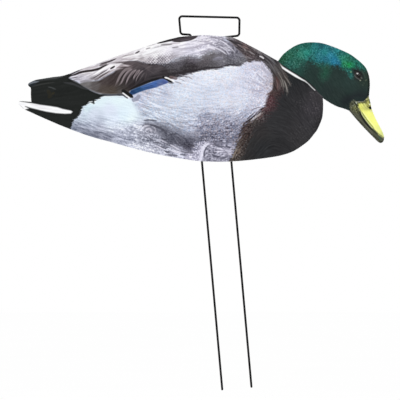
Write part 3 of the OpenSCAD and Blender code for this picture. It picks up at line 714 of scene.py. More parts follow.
def paint_wing(ink):
    """The folded brown wing: arched pale streaks, and long pale feathers over its top edge."""
    brown = shape([
        (-236, 457), (-226, 461), (-214, 462), (-206, 463.4), (-196, 469), (-184, 476), (-172, 488.5),
        (-158, 491), (-146, 491), (-132, 486), (-118, 486), (-104, 478), (-106, 467), (-112, 465.5),
        (-124, 463.5), (-140, 457), (-152, 452), (-160, 447), (-163, 443), (-172, 442), (-186, 441.5),
        (-200, 442), (-212, 445), (-224, 450.5),
    ], 1.6)
    shade = spread([
        (-226, 457, 112, 109, 110), (-212, 456, 96, 91, 91), (-200, 450, 84, 76, 72),
        (-188, 446, 78, 70, 64), (-172, 444, 92, 88, 86), (-200, 462, 74, 66, 66), (-188, 464, 66, 58, 58),
        (-186, 476, 62, 55, 56), (-176, 484, 92, 84, 86), (-160, 486, 96, 87, 90), (-150, 484, 86, 79, 82),
        (-140, 478, 70, 65, 69), (-148, 462, 56, 52, 55), (-160, 456, 52, 47, 49), (-126, 476, 72, 67, 71),
        (-112, 472, 58, 54, 57), (-124, 468, 52, 49, 52), (-168, 450, 56, 51, 50), (-120, 483, 82, 76, 80),
        (-134, 484, 92, 85, 88),
    ], 4)
    ink = colour_mix(ink, brown, shade)
    ink = tone(ink, brown, (HAIR, 3), (BROAD, 2.6))
    light, dark = (142, 131, 135), (42, 36, 38)
    ink = strokes(ink, 1, [
        (4.8, (130, 120, 123), 0.85, (-157, 482), (-166, 479), (-174, 471), (-179, 462), (-183, 454)),
        (0.9, (92, 84, 86), 0.8, (-163, 480), (-172, 471), (-177, 462), (-181, 454)),
        (1.6, dark, 0.8, (-160, 479), (-168, 474), (-174, 466), (-178, 456)),
        (3.6, light, 0.85, (-156, 480.5), (-163, 476), (-169, 468), (-173, 460), (-178, 454)),
        (1.8, dark, 0.85, (-154, 477), (-161, 471), (-167, 461), (-169, 456)),
        (3.6, light, 0.85, (-150, 479.5), (-156, 475), (-162, 468), (-166, 459), (-167, 455)),
        (2, dark, 0.85, (-149, 476), (-155, 470), (-160, 462)),
        (4, light, 0.8, (-145, 479), (-149, 475), (-154, 468), (-155.5, 463)),
        (1.6, dark, 0.85, (-144, 474), (-149, 467), (-152, 461)),
        (2.2, (134, 124, 128), 0.8, (-140, 478.5), (-145, 474), (-150, 466), (-152, 459)),
        (1.4, (106, 98, 101), 0.7, (-138, 475), (-142, 470), (-147, 462)),
        (2, (82, 75, 78), 0.6, (-135, 474), (-137, 468), (-139, 462)),
        (3, (128, 118, 121), 0.7, (-172, 484.5), (-164, 486), (-156, 483)),
        (1.8, (86, 80, 76), 0.5, (-196, 450), (-186, 446), (-176, 446)),
        (1.8, (100, 98, 100), 0.6, (-232, 456), (-222, 450.4), (-210, 446), (-198, 443.6)),
        (2.2, (56, 50, 50), 0.7, (-206, 466), (-194, 473), (-184, 480)),
        (1.6, (94, 86, 89), 0.5, (-152, 488), (-142, 485), (-132, 478), (-120, 470)),
        (2.6, (94, 86, 89), 0.8, (-170, 488.6), (-158, 489.6), (-148, 488)),
        (1.1, (88, 79, 82), 0.8, (-159, 478), (-166.4, 470), (-171.4, 461), (-175, 454)),
        (1.1, (88, 79, 82), 0.8, (-153, 478), (-159.4, 470), (-163.6, 462), (-166, 456)),
        (1.1, (88, 79, 82), 0.8, (-147, 478), (-151.6, 471), (-154.6, 463)),
        (3.4, (72, 72, 78), 0.8, (-181, 441.6), (-173, 441.2), (-166, 440)),
        (2.4, (158, 149, 153), 0.65, (-183, 477.4), (-177, 480), (-169, 481.6)),
        (3.4, (76, 78, 84), 0.85, (-206, 441.8), (-195, 441), (-182, 441), (-167, 440.6)),
        (1, (108, 106, 107), 0.6, (-204, 443.4), (-190, 442.8), (-174, 443)),
    ], (0.25, 0.7))
    return strokes(ink, 0.9, [
        (3.2, (246, 244, 247), 0.9, (-216, 470.6), (-208, 475.4), (-199, 480.6), (-190, 484.6),
         (-181, 486.6), (-172, 487.6)),
        (1.8, (236, 231, 236), 0.85, (-212, 467.4), (-205, 471.4), (-197, 476.2), (-189, 481),
         (-180, 484), (-170, 486)),
        (2.2, (196, 188, 193), 0.85, (-207, 465), (-201, 468.8), (-195, 472.4), (-189, 476),
         (-182, 479.4), (-174, 481.6)),
        (3, (172, 162, 166), 0.8, (-182, 481), (-172, 484.6), (-160, 484.6)),
        (1.5, (92, 83, 86), 0.9, (-216, 465.6), (-208, 470.4), (-200, 475.4), (-193, 479.6)),
        (1.3, (80, 72, 74), 0.85, (-210, 464.4), (-203, 469.2), (-196, 473.6), (-190, 477.6)),
        (2.2, (84, 76, 77), 0.7, (-203, 462), (-196, 466.4), (-189, 471)),
        (3, (122, 114, 117), 0.7, (-214, 463), (-206, 466.6)),
        (2.6, (62, 54, 57), 0.95, (-190.4, 479.8), (-186.6, 482), (-182.6, 484.6)),
        (1.6, (206, 200, 204), 0.6, (-188, 486), (-176, 487.5), (-162, 484)),
        (3, (138, 135, 142), 0.6, (-236, 461), (-226, 462), (-217, 461)),
    ])


def paint_speculum(ink):
    """The blue wing bar, with a black and a white bar across each end."""
    ink = brush(ink, [(-163, 447.6), (-150, 453.6), (-130, 462), (-112, 467)], 4, (34, 31, 34), 0.85)
    bar = shape([
        (-161.5, 444), (-159, 448), (-150, 452), (-140, 455.8), (-128, 460.2), (-118, 463.8),
        (-111, 465.2), (-106, 463.4), (-101.5, 460.4), (-106, 458), (-113, 455.6), (-122, 452),
        (-136, 448.7), (-146, 445.4), (-153, 442.2), (-158.4, 440.4),
    ], 1, smooth=False)
    blue = spread([
        (-158, 445, 40, 66, 104), (-148, 449, 48, 78, 118), (-136, 454, 58, 88, 136),
        (-124, 459, 72, 104, 166), (-116, 461, 84, 108, 160), (-108, 461, 82, 98, 150),
        (-114, 457, 96, 108, 150), (-130, 452, 62, 88, 140),
    ], 3)
    ink = colour_mix(ink, bar, blue)
    ink = tone(ink, bar, (FINE, 4))
    ink = brush(ink, [(-146, 451), (-134, 455), (-122, 459)], 1.5, (90, 122, 190), 0.5)
    ink = strokes(ink, 0.9, [
        (6, (146, 148, 166), 0.7, (-158, 433), (-151, 435), (-145, 441)),
        (5.4, (30, 29, 31), 1, (-173, 448.4), (-164, 442.8), (-155.4, 437)),
        (2, (232, 234, 238), 1, (-172, 444.6), (-166, 440.2), (-159.6, 435.4)),
        (2, (84, 84, 90), 0.85, (-172, 442), (-168, 438.8), (-163, 435.6)),
        (2, (40, 42, 50), 0.8, (-158.6, 439.4), (-155.4, 437.2)),
        (3.6, (34, 32, 35), 1, (-112, 469), (-107, 466), (-101, 462), (-96, 459.5)),
        (2.4, (104, 104, 114), 0.6, (-104, 460), (-99, 458.6), (-94, 459)),
        (2.2, (240, 241, 245), 1, (-109, 467.6), (-103, 465.8), (-97, 462.8), (-92.5, 460.4)),
        (4.4, (112, 96, 96), 0.8, (-102, 467.6), (-96, 467), (-89, 465)),
    ], (0.12, 0.2))
    # Short barbs where the wing's edge breaks over the flank: a place, a reach and a grey level.
    for x, z, dx, dz, shade in [
        (-94, 461, 12, -4, 150), (-90, 466, 13, -5, 168), (-86, 471, 13, -5, 128), (-79, 470, 13, -6, 150),
        (-96, 467, 8, -2, 140), (-74, 474, 8, -2, 120), (-92, 462.6, 10, -3, 226), (-90, 465, 9, -1, 206),
        (-84, 467, 12, -4, 214), (-80, 470, 10, -2, 170), (-76, 470, 12, -5, 216), (-68, 474, 8, -3, 230),
        (-36, 479, 7, -4, 240), (-46, 478, 6, -2, 230), (-88, 471, 7, 0, 120), (-78, 473, 8, 1, 104),
    ]:
        path = [(x, z), (x + dx * 0.5, z + dz * 0.35), (x + dx, z + dz)]
        ink = brush(ink, path, 1.5, (shade, shade - 2, min(255, shade + 6)), 0.75, 0.9)
    return ink


def paint_head(ink):
    """The green head: a bright teal, blue and green crown over a nearly black cheek."""
    head = shape([
        (61, 493), (68, 486), (80, 478), (92, 471), (101, 466), (108, 460), (116, 453), (121, 446),
        (129, 438), (129, 430), (150, 410), (168, 412), (174, 424), (180, 431), (188, 431), (194, 433),
        (198, 440), (210, 450), (212, 480), (190, 510), (150, 530), (100, 535), (70, 520), (55, 500),
    ], 0.9, smooth=False)
    base = spread([
        (120, 462, 42, 56, 53), (150, 462, 45, 59, 56), (150, 440, 44, 55, 53), (172, 450, 44, 58, 55),
        (165, 432, 38, 46, 46), (190, 445, 42, 54, 52), (135, 445, 42, 52, 51), (105, 475, 41, 55, 52),
        (150, 478, 42, 56, 53), (192, 462, 46, 58, 52), (95, 480, 42, 72, 66), (170, 462, 46, 62, 59),
    ], 8)
    ink = colour_mix(ink, head, base)
    ink = tone(ink, head, (FINE, 1.6))
    fleck = streaks(straight_lay(0.72, -0.69), 3, 0.6, 21)
    fleck_up = streaks(straight_lay(0.6, 0.8), 2.5, 0.6, 22)
    crown = shape([
        (50, 500), (64, 489), (72, 486), (84, 482), (92, 484), (99, 490), (106, 494), (114, 491),
        (122, 487), (132, 486), (141, 486), (150, 485), (157, 482), (163, 480), (168, 474), (172, 468),
        (174, 474), (172, 480), (180, 481), (190, 478), (194, 482), (190, 500), (150, 530), (90, 535),
    ], 4.5, fleck * 1.3 + field_noise(2.6, 23) * 1.2)
    gloss = spread([
        (68, 496, 36, 80, 62), (76, 500, 42, 94, 76), (80, 488, 44, 96, 86), (88, 508, 42, 96, 82),
        (95, 502, 52, 122, 106), (105, 504, 46, 132, 118), (104, 514, 36, 96, 86), (92, 492, 46, 96, 84),
        (112, 498, 40, 104, 102), (118, 510, 42, 118, 118), (126, 514, 34, 96, 104),
        (124, 499, 42, 112, 122), (132, 505, 44, 126, 128), (133, 494, 36, 102, 118),
        (140, 500, 44, 124, 146), (146, 493, 44, 122, 152), (152, 489, 40, 108, 138),
        (150, 508, 42, 124, 128), (158, 497, 44, 124, 104), (161, 489, 40, 124, 84),
        (168, 486, 32, 138, 78), (174, 482, 32, 122, 86), (168, 494, 38, 104, 86), (174, 497, 34, 92, 84),
        (166, 477, 40, 104, 98), (171, 471, 42, 112, 106), (182, 488, 38, 104, 92), (190, 482, 40, 92, 82),
        (180, 482, 38, 104, 92), (142, 511, 38, 100, 108), (158, 504, 36, 98, 94),
    ], 4)
    crown = crown * head
    ink = colour_mix(ink, crown, gloss)
    ink = tone(ink, crown, (fleck, 9), (fleck_up, 6))
    patch = shape([
        (121, 486), (126, 480), (125, 470), (130, 464), (137, 470), (140, 480), (136, 487),
    ], 6, fleck)
    ink = colour_mix(ink, patch * 0.75, (44, 90, 72))
    cheek = shape([(78, 484), (88, 485), (100, 490), (108, 486), (104, 474), (96, 474)], 5, fleck)
    ink = colour_mix(ink, cheek * 0.25, (44, 82, 74))
    ink = tone(ink, (cheek + patch) * 0.7, (fleck_up, 8))
    dim = np.clip(0.15 + 0.25 * field_noise(3, 24), 0, 1)
    return colour_mix(ink, crown * above(GRID_Z, 512, 10) * dim, (30, 74, 70))


def paint_eye(ink):
    """The dark brown eye in its black surround, with its catch lights and pale lower lid."""
    socket = shape([
        (173, 478), (178, 479.5), (185, 476), (189, 469), (187, 463), (180, 463.5), (175, 469),
    ], 3)
    ink = colour_mix(ink, socket * 0.85, (42, 44, 45))
    ball = shape([
        (177.4, 474.6), (181, 475.6), (185.4, 472), (187, 467), (184.8, 464.4), (180.6, 466), (177.6, 470),
    ], 1.2)
    ink = colour_mix(ink, ball, (56, 54, 53))
    pupil = shape([
        (179.6, 472), (183, 472), (185.4, 469), (184.6, 466.4), (181.6, 467.2), (179.8, 469.6),
    ], 1.2)
    ink = colour_mix(ink, pupil, (34, 34, 34))
    return strokes(ink, 0.9, [
        (1.5, (30, 31, 33), 0.7, (174, 477), (179, 477.6), (185, 474.6), (188, 470)),
        (1.3, (86, 88, 86), 0.85, (176, 471.6), (178, 468), (181.4, 465.4), (184.6, 463.8)),
        (2, (88, 94, 88), 0.75, (185.6, 467.6), (187, 466.4), (187.2, 464.8)),
        (2.2, (128, 136, 116), 0.85, (184.6, 463.8), (185.3, 461.8)),
        (2.2, (172, 172, 172), 0.9, (179.2, 473.1), (180.6, 473.2), (182, 472.6)),
        (1.6, (112, 112, 112), 0.7, (182.6, 471.6), (183.6, 470.6)),
        (1.4, (70, 70, 68), 0.6, (177, 473.4), (178.2, 470.6)),
        (2.4, (108, 152, 118), 0.7, (169.6, 475.6), (172.4, 475.2)),
        (1.8, (60, 112, 108), 0.6, (171.4, 472), (172.6, 468)),
        (1.8, (60, 76, 68), 0.6, (187, 477), (191, 471), (192.6, 465)),
        (3, (84, 92, 78), 0.65, (192.6, 464), (194.4, 462.4)),
        (2.2, (62, 74, 66), 0.6, (187.6, 457), (190, 455)),
        (1.8, (58, 68, 60), 0.6, (190, 460), (191.6, 457.6)),
        (1.8, (24, 32, 30), 0.6, (196, 474), (197.4, 462), (196.6, 446), (195, 438)),
    ], (0.15, 0.15))


def paint_bill(ink):
    """The yellow bill with its olive lower edge, dark gape line, tip and nostril."""
    chin = shape([(160, 426), (176, 436), (192, 435), (196, 441), (184, 446), (170, 440), (160, 434)], 5)
    ink = colour_mix(ink, chin * 0.6, (36, 38, 43))
    bill = shape([
        (169, 410), (169.4, 420), (169, 428), (173, 432.6), (176, 433.4), (178.6, 431), (183, 430.4),
        (188, 430.6), (192, 432.4), (194.8, 435.4), (196.8, 439), (212, 430), (230, 380), (222, 362),
        (208, 366), (180, 392), (160, 404),
    ], 1.4, SPECK * 0.4, smooth=False)
    ink = colour_mix(ink, bill, (82, 83, 70))
    along = streaks(straight_lay(0.66, -0.75), 9, 0.8, 41)
    ink = tone(ink, bill, (along, 7))
    base = shape([
        (169, 431), (180, 433), (196, 442), (204, 428), (199, 422), (186, 424), (181, 412), (168, 424),
    ], 2)
    olive = spread([
        (174, 428, 70, 72, 58), (179, 424, 116, 118, 82), (177, 430, 96, 100, 86),
        (183, 429.5, 100, 102, 68), (190, 432, 96, 97, 66), (195, 436, 112, 113, 76),
        (198, 430, 168, 168, 96), (182, 416, 92, 94, 66),
    ], 2.5)
    ink = colour_mix(ink, base * bill, olive)
    ink = tone(ink, base * bill, (SPECK + MOTTLE, 13))
    yellow = shape([
        (182, 427.6), (187, 428.6), (193, 428), (198, 426), (203, 424), (210, 408), (219, 390), (223, 380),
        (219.4, 377.6), (213, 382), (207, 388), (200.8, 395.4), (194.6, 403.2), (190, 411), (185.4, 417.4),
        (183, 422),
    ], 1.4, SPECK * 0.35, smooth=False)
    gold = spread([
        (186, 424, 220, 222, 114), (192, 426, 196, 198, 112), (198, 425, 150, 150, 86),
        (197, 412, 252, 254, 142), (206, 400, 253, 255, 146), (213, 388, 240, 244, 150),
        (191, 412, 246, 248, 136), (202, 400, 250, 253, 138), (218, 381, 216, 222, 140),
    ], 3)
    ink = colour_mix(ink, yellow, gold)
    ink = tone(ink, yellow * above(GRID_Z, 414, 10), (along, 9))
    return strokes(ink, 0.8, [
        (2.3, (26, 29, 19), 0.95, (183.4, 417.6), (186.6, 410), (191.6, 401.2), (197.2, 394.2),
         (203.6, 387.8)),
        (1.8, (60, 68, 48), 0.6, (202, 390), (208, 384.6), (212, 380)),
        (1.5, (196, 204, 136), 0.85, (185.4, 416.4), (189.6, 409), (196.6, 399.4), (204.6, 389.8)),
        (1.2, (146, 154, 78), 0.8, (187, 416.2), (191.2, 409.2), (198.4, 399.6), (206, 390.6)),
        (1, (246, 250, 186), 0.7, (189, 416), (193.4, 409.4), (200.6, 400.4), (208, 392)),
        (2.4, (62, 65, 54), 0.6, (170, 417.4), (180, 405), (192, 391), (204, 378), (211, 371)),
        (2.2, (88, 89, 76), 0.7, (174, 421), (182, 409), (192, 396.6), (204, 384)),
        (2, (60, 61, 50), 0.6, (180, 418), (186, 407), (194, 396)),
        (2, (38, 40, 30), 0.75, (176, 431), (178.6, 426.4), (180.6, 421)),
        (2, (170, 174, 158), 0.75, (178, 431), (180, 428)),
        (2, (84, 92, 84), 0.7, (174, 434), (175.6, 433)),
        (1.6, (112, 112, 66), 0.6, (184, 430.4), (188, 430), (192, 430.6)),
        (1.8, (168, 170, 116), 0.8, (196.6, 437.4), (197.2, 434.6), (198, 431)),
        (2.2, (190, 190, 130), 0.6, (193.4, 433.4), (195.4, 435.6)),
        (1.5, (92, 96, 58), 0.8, (197.4, 435), (199, 431), (199.8, 428)),
        (1.6, (122, 120, 58), 0.7, (195.6, 424.6), (197.4, 422)),
        (2, (232, 232, 208), 0.8, (198.6, 427.2), (200.2, 426.2)),
        (3.4, (24, 24, 18), 0.97, (198.4, 423.6), (199.8, 421.6), (201, 419.6)),
        (1.4, (226, 226, 196), 0.6, (200, 417.4), (202, 415.6)),
        (2.2, (158, 164, 100), 0.7, (211, 383.4), (215, 380), (219, 377.4)),
        (2, (72, 80, 64), 0.6, (205, 382.6), (210, 378.6), (215, 374.4)),
        (3.4, (74, 88, 74), 0.8, (213, 379), (214.6, 376), (215.4, 372.4)),
        (2.2, (44, 50, 38), 0.8, (211, 370.6), (215, 369.6), (219, 372)),
    ], (0.15, 0.15))


def paint_ring(ink):
    """The white neck ring, and the dim edge from its end down to the throat."""
    ring = shape([
        (65.6, 485.4), (72.6, 481), (81.2, 475.6), (89.2, 470.9), (97.2, 465.5), (102.4, 462.4),
        (108.2, 457.2), (113.4, 451.9), (117.6, 448), (116.6, 448), (112.4, 451.7), (106.4, 458),
        (101.8, 461.2), (96.4, 463.5), (91.8, 465.7), (87.4, 468), (81, 472), (73.2, 476.9), (68, 480.8),
    ], 0.9, smooth=False)
    ink = colour_mix(ink, ring, (250, 253, 252))
    return strokes(ink, 0.8, [
        (1.2, (78, 78, 80), 0.7, (119, 446), (124, 441.6), (130, 437)),
        (1.4, (170, 172, 166), 0.6, (64, 488.5), (66, 485.6), (69, 483.4)),
    ])


def paint_picture():
    """The whole picture, layer over layer, in 8-bit screen colours."""
    ink = paint_flank()
    for layer in (
        paint_rear_patch, paint_belly, paint_shadow_band, paint_back, paint_wing, paint_speculum,
        paint_rump, paint_breast, paint_shoulder, paint_head, paint_eye, paint_bill, paint_ring,
    ):
        ink = layer(ink)
    ink = ink + CRISPNESS * (ink - blurred(ink, CRISP_SIZE))
    return np.clip(ink, BLACKEST, 255)


# ---------------------------------------------------------------- the print sheets

SPACING = 0.86  # mm between the vertices of a sheet
ROW_STEP = 0.866  # distance between a sheet's rows of vertices, as a share of the spacing
RIM_GAP = 0.5  # how far inner vertices keep off the rim, as a share of the spacing
SHEEN = 0.0108  # what the ink's faint gloss adds to its colour in even light
DEEPEST = 0.004  # the darkest that printed ink gets
FLAT_WITHIN = 2e-6  # metres within which a vertex counts as lying on the film's outer face


def film_outline(node):
    """The outer loop of a CAD film, in order, as an array of x and z in metres."""
    mesh, place = node.data, node.matrix_world
    at = [place @ v.co for v in mesh.vertices]
    outer = max(abs(p.y) for p in at)
    uses = {}
    for face in mesh.polygons:
        if all(abs(abs(at[v].y) - outer) < FLAT_WITHIN for v in face.vertices):
            for a, b in face.edge_keys:
                ends = [(round(at[v].x, 7), round(at[v].z, 7)) for v in (a, b)]
                pair = tuple(sorted(ends))
                uses[pair] = uses.get(pair, 0) + 1
    links = {}
    for (a, b), count in uses.items():
        if count == 1:
            links.setdefault(a, []).append(b)
            links.setdefault(b, []).append(a)
    start = min(links)
    loop, before, here = [start], None, start
    while True:
        step = [p for p in links[here] if p != before]
        before, here = here, step[0]
        if here == start:
            return np.array(loop)
        loop.append(here)


def finer(loop, spacing):
    """The loop with points added so that no side is longer than the spacing."""
    out = []
    for a, b in zip(loop, np.roll(loop, -1, axis=0)):
        n = max(1, math.ceil(np.hypot(*(b - a)) / spacing))
        out += [a + (b - a) * k / n for k in range(n)]
    return np.array(out)


def staggered_rows(loop, spacing):
    """Rows of points inside the loop, every other row half a spacing along."""
    (x0, z0), (x1, z1) = loop.min(0), loop.max(0)
    ends = np.roll(loop, -1, axis=0)
    gap = RIM_GAP * spacing
    out = []
    for k, z in enumerate(np.arange(z0, z1, spacing * ROW_STEP)):
        cut = (np.minimum(loop[:, 1], ends[:, 1]) <= z) & (np.maximum(loop[:, 1], ends[:, 1]) > z)
        a, b = loop[cut], ends[cut]
        hits = np.sort(a[:, 0] + (z - a[:, 1]) * (b[:, 0] - a[:, 0]) / (b[:, 1] - a[:, 1]))
        for left, right in zip(hits[::2], hits[1::2]):
            xs = np.arange(x0 + (k % 2) * spacing / 2, x1, spacing)
            out += [(x, z) for x in xs if left + gap < x < right - gap]
    return out


def filling(loop, spacing):
    """The staggered rows without the points that come too near the loop."""
    cells = {}
    for x, z in loop:
        cells.setdefault((int(x / spacing), int(z / spacing)), []).append((x, z))
    around = [(i, j) for i in (-1, 0, 1) for j in (-1, 0, 1)]
    keep = []
    for x, z in staggered_rows(loop, spacing):
        i, j = int(x / spacing), int(z / spacing)
        near = [p for di, dj in around for p in cells.get((i + di, j + dj), [])]
        if all((x - p[0]) ** 2 + (z - p[1]) ** 2 > (RIM_GAP * spacing) ** 2 for p in near):
            keep.append((x, z))
    return keep


def sheet_plan(film):
    """Vertices (rim first) and triangles of a sheet, in x and z, and how many make its rim."""
    loop = finer(film_outline(frame["nodes"][film]), SPACING * MM)
    points = [Vector(p) for p in loop] + [Vector(p) for p in filling(loop, SPACING * MM)]
    n = len(loop)
    result = delaunay_2d_cdt(points, [(k, (k + 1) % n) for k in range(n)], [], 1, 1e-9)
    verts, faces, origin = result[0], result[2], result[3]
    if len(verts) != len(points):
        raise SystemExit(f"sheet mesh changed its points: {len(points)} to {len(verts)}")
    flat = [tuple(p) for p in points]
    triangles = []
    for face in faces:
        a, b, c = (origin[v][0] for v in face)
        (ax, az), (bx, bz), (cx, cz) = flat[a], flat[b], flat[c]
        if (bx - ax) * (cz - az) - (bz - az) * (cx - ax) < 0:
            b, c = c, b
        triangles.append((a, b, c))
    return flat, triangles, n


def linear(byte):
    """8-bit screen colour to linear light."""
    c = np.asarray(byte, float) / 255
    return np.where(c <= 0.04045, c / 12.92, ((c + 0.055) / 1.055) ** 2.4)


def sample(ink, x, z):
    """The picture's colour at points given in metres."""
    col = np.clip((x / MM - X_LOW) / PITCH, 0, COLS - 1.001)
    row = np.clip((z / MM - Z_LOW) / PITCH, 0, ROWS - 1.001)
    j, i = col.astype(int), row.astype(int)
    u, v = (col - j)[:, None], (row - i)[:, None]
    low = ink[i, j] * (1 - u) + ink[i, j + 1] * u
    high = ink[i + 1, j] * (1 - u) + ink[i + 1, j + 1] * u
    return low * (1 - v) + high * v


def lay_colours(mesh, verts, ink):
    """Gives every vertex the picture's colour at its place."""
    xyz = np.array(verts)
    rgba = np.ones((len(verts), 4), np.float32)
    rgba[:, :3] = np.clip(linear(sample(ink, xyz[:, 0], xyz[:, 2])) - SHEEN, DEEPEST, 1)
    layer = mesh.color_attributes.new("plumage", "FLOAT_COLOR", "POINT")
    layer.data.foreach_set("color", rgba.ravel())


def print_sheet(name, film, ink, material):
    """One printed face: a flat sheet over the CAD film, its rim turned back to the board."""
    low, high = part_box(film)
    face_y, rim_y = (low[1], high[1]) if abs(low[1]) > abs(high[1]) else (high[1], low[1])
    flat, triangles, rim_count = sheet_plan(film)
    verts = [(x, face_y, z) for x, z in flat] + [(x, rim_y, z) for x, z in flat[:rim_count]]
    sides = []
    for k in range(rim_count):
        a, b = k, (k + 1) % rim_count
        sides.append((a, b, len(flat) + b, len(flat) + a))
    faces = triangles + sides
    if face_y > 0:
        faces = [tuple(reversed(face)) for face in faces]
    mesh = bpy.data.meshes.new(name)
    mesh.from_pydata(verts, [], faces)
    lay_colours(mesh, verts, ink)
    mesh.materials.append(material)
    mesh.update()
    piece = bpy.data.objects.new(name, mesh)
    bpy.context.scene.collection.objects.link(piece)
    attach(piece, "panel")
    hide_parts(film)
    return piece


# ---------------------------------------------------------------- materials


def new_material(name):
    """A material with its node tree and its Principled shader."""
    material = bpy.data.materials.new(name)
    material.use_nodes = True
    tree = material.node_tree
    return material, tree, tree.nodes["Principled BSDF"]


def noise(tree, scale, detail=2.0):
    """Object-space noise, its scale in grains per metre."""
    place = tree.nodes.new("ShaderNodeTexCoord")
    grain = tree.nodes.new("ShaderNodeTexNoise")
    grain.inputs["Scale"].default_value = scale
    grain.inputs["Detail"].default_value = detail
    tree.links.new(place.outputs["Object"], grain.inputs["Vector"])
    return grain.outputs["Fac"]


def ramp(tree, value, low, high, colours):
    """Maps a value from low to high onto a blend of two colours."""
    node = tree.nodes.new("ShaderNodeValToRGB")
    for stop, position, colour in zip(node.color_ramp.elements, (low, high), colours):
        stop.position = position
        stop.color = (*colour, 1)
    tree.links.new(value, node.inputs["Fac"])
    return node.outputs["Color"]


def stretch_to(tree, value, low, high):
    """Maps a 0 to 1 value onto low to high."""
    node = tree.nodes.new("ShaderNodeMapRange")
    node.inputs["To Min"].default_value = low
    node.inputs["To Max"].default_value = high
    tree.links.new(value, node.inputs["Value"])
    return node.outputs["Result"]


def bump(tree, value, depth, shader):
    """Unevenness of the surface, its depth in metres."""
    node = tree.nodes.new("ShaderNodeBump")
    node.inputs["Strength"].default_value = 1.0
    node.inputs["Distance"].default_value = depth
    tree.links.new(value, node.inputs["Height"])
    tree.links.new(node.outputs["Normal"], shader.inputs["Normal"])


def print_material(name):
    """Matt ink on plastic: the picture, faintly mottled, over a barely uneven sheet."""
    material, tree, shader = new_material(name)
    ink = tree.nodes.new("ShaderNodeVertexColor")
    ink.layer_name = "plumage"
    mottle = tree.nodes.new("ShaderNodeVectorMath")
    mottle.operation = "SCALE"
    tree.links.new(ink.outputs["Color"], mottle.inputs[0])
    tree.links.new(stretch_to(tree, noise(tree, 900), 0.965, 1.035), mottle.inputs["Scale"])
    tree.links.new(mottle.outputs["Vector"], shader.inputs["Base Color"])
    tree.links.new(stretch_to(tree, noise(tree, 220), 0.55, 0.75), shader.inputs["Roughness"])
    shader.inputs["Specular IOR Level"].default_value = 0.16
    bump(tree, noise(tree, 160, 3.0), 0.00004, shader)
    return material


def plastic_material():
    """White fluted polypropylene, a little translucent and faintly clouded."""
    material, tree, shader = new_material("white_fluted_plastic")
    clouds = ((0.80, 0.82, 0.84), (0.90, 0.91, 0.92))
    tree.links.new(ramp(tree, noise(tree, 60, 3.0), 0.35, 0.7, clouds), shader.inputs["Base Color"])
    tree.links.new(stretch_to(tree, noise(tree, 300), 0.35, 0.5), shader.inputs["Roughness"])
    shader.inputs["Specular IOR Level"].default_value = 0.35
    shader.inputs["Subsurface Weight"].default_value = 0.25
    shader.inputs["Subsurface Radius"].default_value = (0.002, 0.002, 0.002)
    bump(tree, noise(tree, 400), 0.00002, shader)
    return material


def wire_material():
    """Matt black paint on drawn steel wire, rubbed a little lighter here and there."""
    material, tree, shader = new_material("black_painted_wire")
    worn = ((0.0045, 0.0045, 0.005), (0.014, 0.0135, 0.013))
    tree.links.new(ramp(tree, noise(tree, 90, 4.0), 0.45, 0.75, worn), shader.inputs["Base Color"])
    tree.links.new(stretch_to(tree, noise(tree, 500, 3.0), 0.55, 0.75), shader.inputs["Roughness"])
    shader.inputs["Specular IOR Level"].default_value = 0.08
    bump(tree, noise(tree, 1200, 3.0), 0.00003, shader)
    return material


def studio_material():
    """The floor's plain matt white, barely clouded."""
    material, tree, shader = new_material("studio_white")
    whites = ((FLOOR_WHITE * 0.996,) * 3, (FLOOR_WHITE,) * 3)
    tree.links.new(ramp(tree, noise(tree, 3), 0.3, 0.7, whites), shader.inputs["Base Color"])
    shader.inputs["Roughness"].default_value = 0.9
    shader.inputs["Specular IOR Level"].default_value = 0.0
    return material


def dress(node_name, material):
    """A carried-over CAD piece takes its finish."""
    node = frame["nodes"][node_name]
    if not node.material_slots:
        node.data.materials.append(material)
    for place in node.material_slots:
        place.material = material


# ---------------------------------------------------------------- the studio, in metres

FLOOR_WHITE = 0.995
FLOOR_REACH = 12.0
FLOOR_CLEARANCE = 0.02  # under the panel when it has slid right down
WORLD_LIGHT = 1.0
LAMP_POWER = 2.0
LAMP_SIZE = 2.4
LAMP_AIM = (-0.05, 0, 0.35)
VIEW_CENTRE = (-0.0554, 0.0, 0.2835)
VIEW_WIDTH = 0.6
CAMERA_AWAY = 6.0
SENSOR_MM = 36.0


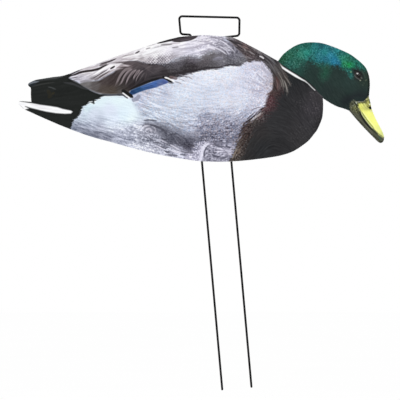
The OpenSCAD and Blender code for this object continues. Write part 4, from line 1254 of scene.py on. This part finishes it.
def studio_floor():
    """A plain pale floor, low enough that the panel can slide off the legs above it."""
    slide = frame["record"]["behaviour"]["joints"][0]
    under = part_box("fluted_panel")[0][2] - slide["range_m"][1] - FLOOR_CLEARANCE
    mesh = bpy.data.meshes.new("studio_floor")
    corners = [(-1, -1), (1, -1), (1, 1), (-1, 1)]
    mesh.from_pydata([(x * FLOOR_REACH, y * FLOOR_REACH, under) for x, y in corners], [], [(0, 1, 2, 3)])
    mesh.materials.append(studio_material())
    floor = bpy.data.objects.new("studio_floor", mesh)
    bpy.context.scene.collection.objects.link(floor)


def soft_light(name, place):
    """A broad square lamp that shines at the object."""
    light = bpy.data.lights.new(name, "AREA")
    light.shape = "SQUARE"
    light.size = LAMP_SIZE
    light.energy = LAMP_POWER
    lamp = bpy.data.objects.new(name, light)
    bpy.context.scene.collection.objects.link(lamp)
    lamp.location = place
    lamp.rotation_euler = (Vector(LAMP_AIM) - Vector(place)).to_track_quat("-Z", "Y").to_euler()


def light_studio():
    """An even white surround, with a broad soft light to each side."""
    world = bpy.data.worlds.new("studio")
    bpy.context.scene.world = world
    world.use_nodes = True
    sky = world.node_tree.nodes["Background"]
    sky.inputs["Color"].default_value = (1, 1, 1, 1)
    sky.inputs["Strength"].default_value = WORLD_LIGHT
    soft_light("front_light", (-1.2, -2.6, 2.2))
    soft_light("back_light", (1.2, 2.6, 2.2))


def place_camera():
    """Square on to the printed right face, level, from far enough to flatten the wire."""
    lens = bpy.data.cameras.new("camera")
    lens.sensor_width = SENSOR_MM
    lens.lens = SENSOR_MM * CAMERA_AWAY / VIEW_WIDTH
    lens.clip_end = 40.0
    camera = bpy.data.objects.new("camera", lens)
    bpy.context.scene.collection.objects.link(camera)
    x, y, z = VIEW_CENTRE
    camera.location = (x, y - CAMERA_AWAY, z)
    camera.rotation_euler = (math.radians(90), 0, 0)
    bpy.context.scene.camera = camera


def build():
    """The two printed faces, the dressed CAD pieces, and the studio round them."""
    bpy.context.scene.view_settings.view_transform = "Standard"
    ink = paint_picture()
    for side in ("right", "left"):
        material = print_material(f"{side}_plumage_ink")
        piece = print_sheet(f"{side}_printed_face", f"{side}_print_film", ink, material)
    dress("fluted_panel", plastic_material())
    dress("wire_stake", wire_material())
    studio_floor()
    light_studio()
    place_camera()


build()
